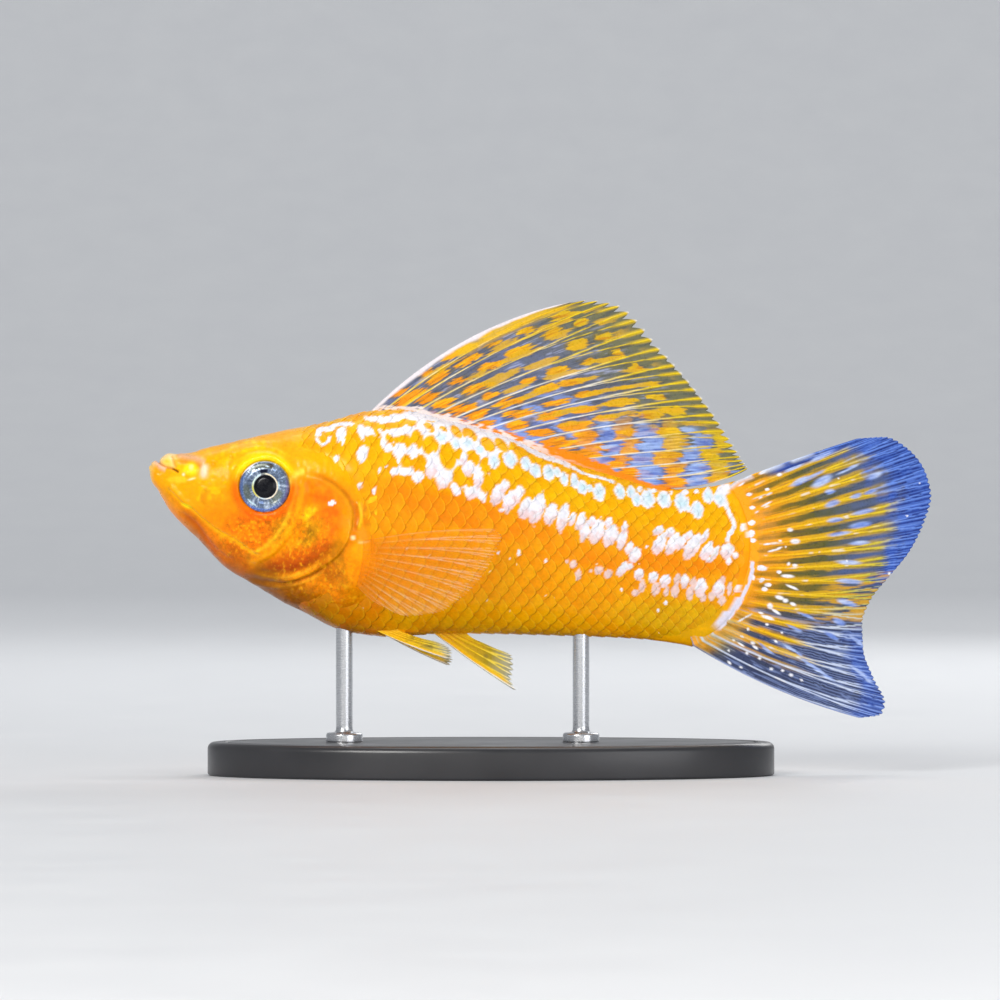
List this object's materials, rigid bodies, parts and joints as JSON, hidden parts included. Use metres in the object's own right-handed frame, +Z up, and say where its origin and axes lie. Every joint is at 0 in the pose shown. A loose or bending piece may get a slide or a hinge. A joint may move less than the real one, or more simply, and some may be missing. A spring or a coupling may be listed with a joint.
{
  "type": "sailfin molly display model",
  "caption": "Life-size still model of a male sailfin molly with a tall sail-like back fin and fanned tail, held level on a flat oval stand by two rods.",
  "frame": {"origin": "centre of the whole model's box, on the plane under the stand's base", "axes": "+Z up, -X towards the fish's mouth, +X towards its tail, -Y towards its left side"},
  "size_m": [0.0938, 0.036, 0.057],
  "materials": {
    "skin": "orange fish skin with small scales and rows of pearly white flecks, wet sheen",
    "eye": "silvery slate-blue iris with a thin gold ring round a black pupil, glossy",
    "fin_sail": "translucent slate-blue membrane with yellow and pale rays and orange spots",
    "fin_orange": "translucent orange membrane with fine pale rays",
    "stand_base": "black, satin",
    "stand_rod": "plain bright steel rod"
  },
  "bodies": {
    "root": {"head": "skin", "upper_jaw": "skin", "lower_jaw": "skin", "gill_cover_left": "skin", "gill_cover_right": "skin", "trunk": "skin", "tail_stalk": "skin", "eye_left": "eye", "eye_right": "eye", "dorsal_fin": "fin_sail", "tail_fin": "fin_sail", "anal_fin": "fin_sail", "pelvic_fin_left": "fin_sail", "pelvic_fin_right": "fin_sail", "pectoral_fin_left": "fin_orange", "pectoral_fin_right": "fin_orange", "stand_base": "stand_base", "stand_rod_front": "stand_rod", "stand_rod_rear": "stand_rod"}
  },
  "joints": []
}
